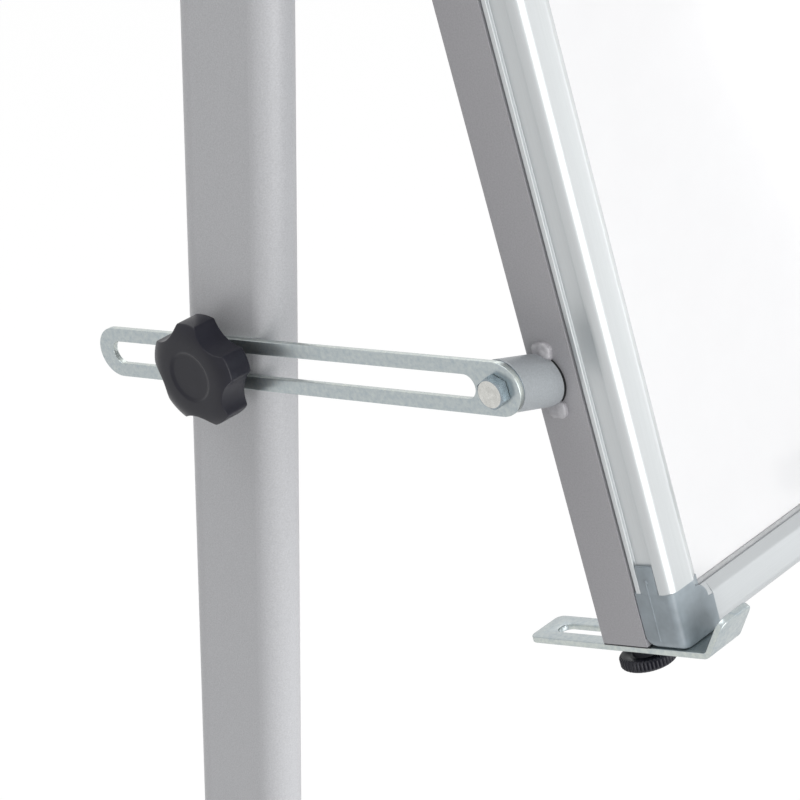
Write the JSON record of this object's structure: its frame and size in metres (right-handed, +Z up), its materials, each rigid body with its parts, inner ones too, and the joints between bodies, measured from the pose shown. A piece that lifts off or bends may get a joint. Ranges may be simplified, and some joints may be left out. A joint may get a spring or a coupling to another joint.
{
  "type": "flipchart easel",
  "caption": "Mobile flipchart easel: a framed writing board that tilts between two castor-footed masts and is set by slotted links with star knobs.",
  "frame": {"origin": "on the floor, at the middle of the easel's footprint", "axes": "+X along the board's width, -Y the way the board faces, +Z up"},
  "size_m": [0.7986, 0.69, 1.9063],
  "materials": {
    "grey_paint": "silver-grey powder coat, satin",
    "zinc_plate": "bright zinc plating, slightly mottled",
    "black_plastic": "black moulded plastic",
    "silver_anodised": "silver anodised, satin",
    "grey_plastic": "blue-grey moulded plastic",
    "white_enamel": "gloss white lacquer",
    "steel_back": "galvanised steel sheet",
    "board_core": "light fibre board",
    "nylon": "natural nylon",
    "castor_plastic": "black nylon housing",
    "wheel_rubber": "dark grey tread"
  },
  "bodies": {
    "stand": {"mast_left": "grey_paint", "mast_right": "grey_paint", "mast_caps": "black_plastic", "foot_left": "grey_paint", "foot_right": "grey_paint", "foot_end_caps": "black_plastic", "upper_cross_bar": "grey_paint", "lower_cross_bar": "grey_paint", "frame_bolts": "zinc_plate", "hinge_bolts": "zinc_plate", "hinge_washers": "nylon", "stud_inserts": "zinc_plate", "castor_stems": "zinc_plate"},
    "board": {"tube_left": "grey_paint", "tube_right": "grey_paint", "tube_plugs": "black_plastic", "stubs": "grey_paint", "link_bolts": "zinc_plate", "rail_left": "silver_anodised", "rail_right": "silver_anodised", "rail_bottom": "silver_anodised", "rail_top": "silver_anodised", "corner_bottom_left": "grey_plastic", "corner_bottom_right": "grey_plastic", "corner_top_left": "grey_plastic", "corner_top_right": "grey_plastic", "writing_surface": "white_enamel", "core_panel": "board_core", "back_sheet": "steel_back", "board_screws": "zinc_plate", "pen_tray": "silver_anodised", "tray_ends": "grey_plastic", "paper_track": "silver_anodised", "clamp_pins": "zinc_plate"},
    "link_left": {"link_left": "zinc_plate"},
    "clamp_washer_left": {"knob_washer_left": "zinc_plate"},
    "star_knob_left": {"knob_left": "black_plastic", "knob_stud_left": "zinc_plate"},
    "hook_left": {"hook_left": "zinc_plate"},
    "thumb_screw_left": {"thumb_screw_left": "black_plastic"},
    "paper_peg_left": {"paper_peg_left": "black_plastic"},
    "link_right": {"link_right": "zinc_plate"},
    "clamp_washer_right": {"knob_washer_right": "zinc_plate"},
    "star_knob_right": {"knob_right": "black_plastic", "knob_stud_right": "zinc_plate"},
    "hook_right": {"hook_right": "zinc_plate"},
    "thumb_screw_right": {"thumb_screw_right": "black_plastic"},
    "paper_peg_right": {"paper_peg_right": "black_plastic"},
    "clamp_bar": {"clamp_bar": "silver_anodised"},
    "castor_front_left": {"castor_housing_front_left": "castor_plastic"},
    "wheels_front_left": {"castor_wheels_front_left": "wheel_rubber"},
    "brake_front_left": {"castor_brake_front_left": "castor_plastic"},
    "castor_front_right": {"castor_housing_front_right": "castor_plastic"},
    "wheels_front_right": {"castor_wheels_front_right": "wheel_rubber"},
    "brake_front_right": {"castor_brake_front_right": "castor_plastic"},
    "castor_rear_left": {"castor_housing_rear_left": "castor_plastic"},
    "wheels_rear_left": {"castor_wheels_rear_left": "wheel_rubber"},
    "castor_rear_right": {"castor_housing_rear_right": "castor_plastic"},
    "wheels_rear_right": {"castor_wheels_rear_right": "wheel_rubber"}
  },
  "joints": [
    {"name": "board_tilt", "type": "hinge", "parent": "stand", "child": "board", "pos_m": [0, 0, 1.52], "axis": [-1, 0, 0], "range_deg": [-6.8, 8.2]},
    {"name": "link_swing_left", "type": "hinge", "parent": "board", "child": "link_left", "pos_m": [-0.3771, -0.16344, 1.07799], "axis": [-1, 0, 0], "range_deg": [-6.3, 5.3]},
    {"name": "knob_turn_left", "type": "hinge", "parent": "clamp_washer_left", "child": "star_knob_left", "pos_m": [-0.39, 0, 1.0289], "axis": [-1, 0, 0], "range_deg": [0, 720]},
    {"name": "knob_travel_left", "type": "slide", "parent": "stand", "child": "clamp_washer_left", "axis": [-1, 0, 0], "range_m": [0, 0.002]},
    {"name": "hook_slide_left", "type": "slide", "parent": "board", "child": "hook_left", "axis": [0, -0.9325, 0.3613], "range_m": [-0.009, 0.04]},
    {"name": "thumb_turn_left", "type": "hinge", "parent": "board", "child": "thumb_screw_left", "pos_m": [-0.3375, -0.22217, 0.94524], "axis": [0, 0.3613, 0.9325], "range_deg": [-720, 0]},
    {"name": "peg_slide_left", "type": "slide", "parent": "board", "child": "paper_peg_left", "axis": [-1, 0, 0], "range_m": [-0.12, 0.1]},
    {"name": "link_swing_right", "type": "hinge", "parent": "board", "child": "link_right", "pos_m": [0.3771, -0.16344, 1.07799], "axis": [-1, 0, 0], "range_deg": [-6.3, 5.3]},
    {"name": "knob_turn_right", "type": "hinge", "parent": "clamp_washer_right", "child": "star_knob_right", "pos_m": [0.39, 0, 1.0289], "axis": [1, 0, 0], "range_deg": [0, 720]},
    {"name": "knob_travel_right", "type": "slide", "parent": "stand", "child": "clamp_washer_right", "axis": [1, 0, 0], "range_m": [0, 0.002]},
    {"name": "hook_slide_right", "type": "slide", "parent": "board", "child": "hook_right", "axis": [0, -0.9325, 0.3613], "range_m": [-0.009, 0.04]},
    {"name": "thumb_turn_right", "type": "hinge", "parent": "board", "child": "thumb_screw_right", "pos_m": [0.3375, -0.22217, 0.94524], "axis": [0, 0.3613, 0.9325], "range_deg": [-720, 0]},
    {"name": "peg_slide_right", "type": "slide", "parent": "board", "child": "paper_peg_right", "axis": [1, 0, 0], "range_m": [-0.12, 0.1]},
    {"name": "clamp_open", "type": "hinge", "parent": "board", "child": "clamp_bar", "pos_m": [0, 0.10285, 1.87234], "axis": [-1, 0, 0], "range_deg": [0, 100]},
    {"name": "swivel_front_left", "type": "hinge", "parent": "stand", "child": "castor_front_left", "pos_m": [-0.363, -0.28, 0.06], "axis": [0, 0, 1], "continuous": true},
    {"name": "roll_front_left", "type": "hinge", "parent": "castor_front_left", "child": "wheels_front_left", "pos_m": [-0.363, -0.298, 0.025], "axis": [1, 0, 0], "continuous": true},
    {"name": "brake_front_left", "type": "hinge", "parent": "castor_front_left", "child": "brake_front_left", "pos_m": [-0.363, -0.32427, 0.04705], "axis": [1, 0, 0], "range_deg": [0, 15]},
    {"name": "swivel_front_right", "type": "hinge", "parent": "stand", "child": "castor_front_right", "pos_m": [0.363, -0.28, 0.06], "axis": [0, 0, 1], "continuous": true},
    {"name": "roll_front_right", "type": "hinge", "parent": "castor_front_right", "child": "wheels_front_right", "pos_m": [0.363, -0.298, 0.025], "axis": [1, 0, 0], "continuous": true},
    {"name": "brake_front_right", "type": "hinge", "parent": "castor_front_right", "child": "brake_front_right", "pos_m": [0.363, -0.32427, 0.04705], "axis": [1, 0, 0], "range_deg": [0, 15]},
    {"name": "swivel_rear_left", "type": "hinge", "parent": "stand", "child": "castor_rear_left", "pos_m": [-0.363, 0.28, 0.06], "axis": [0, 0, 1], "continuous": true},
    {"name": "roll_rear_left", "type": "hinge", "parent": "castor_rear_left", "child": "wheels_rear_left", "pos_m": [-0.363, 0.298, 0.025], "axis": [1, 0, 0], "continuous": true},
    {"name": "swivel_rear_right", "type": "hinge", "parent": "stand", "child": "castor_rear_right", "pos_m": [0.363, 0.28, 0.06], "axis": [0, 0, 1], "continuous": true},
    {"name": "roll_rear_right", "type": "hinge", "parent": "castor_rear_right", "child": "wheels_rear_right", "pos_m": [0.363, 0.298, 0.025], "axis": [1, 0, 0], "continuous": true}
  ],
  "couplings": [
    {"joint": "link_swing_left", "follows": "board_tilt", "ratio": -0.76},
    {"joint": "knob_travel_left", "follows": "knob_turn_left", "m_per_rad": 0.00015915},
    {"joint": "link_swing_right", "follows": "board_tilt", "ratio": -0.76},
    {"joint": "knob_travel_right", "follows": "knob_turn_right", "m_per_rad": 0.00015915}
  ]
}
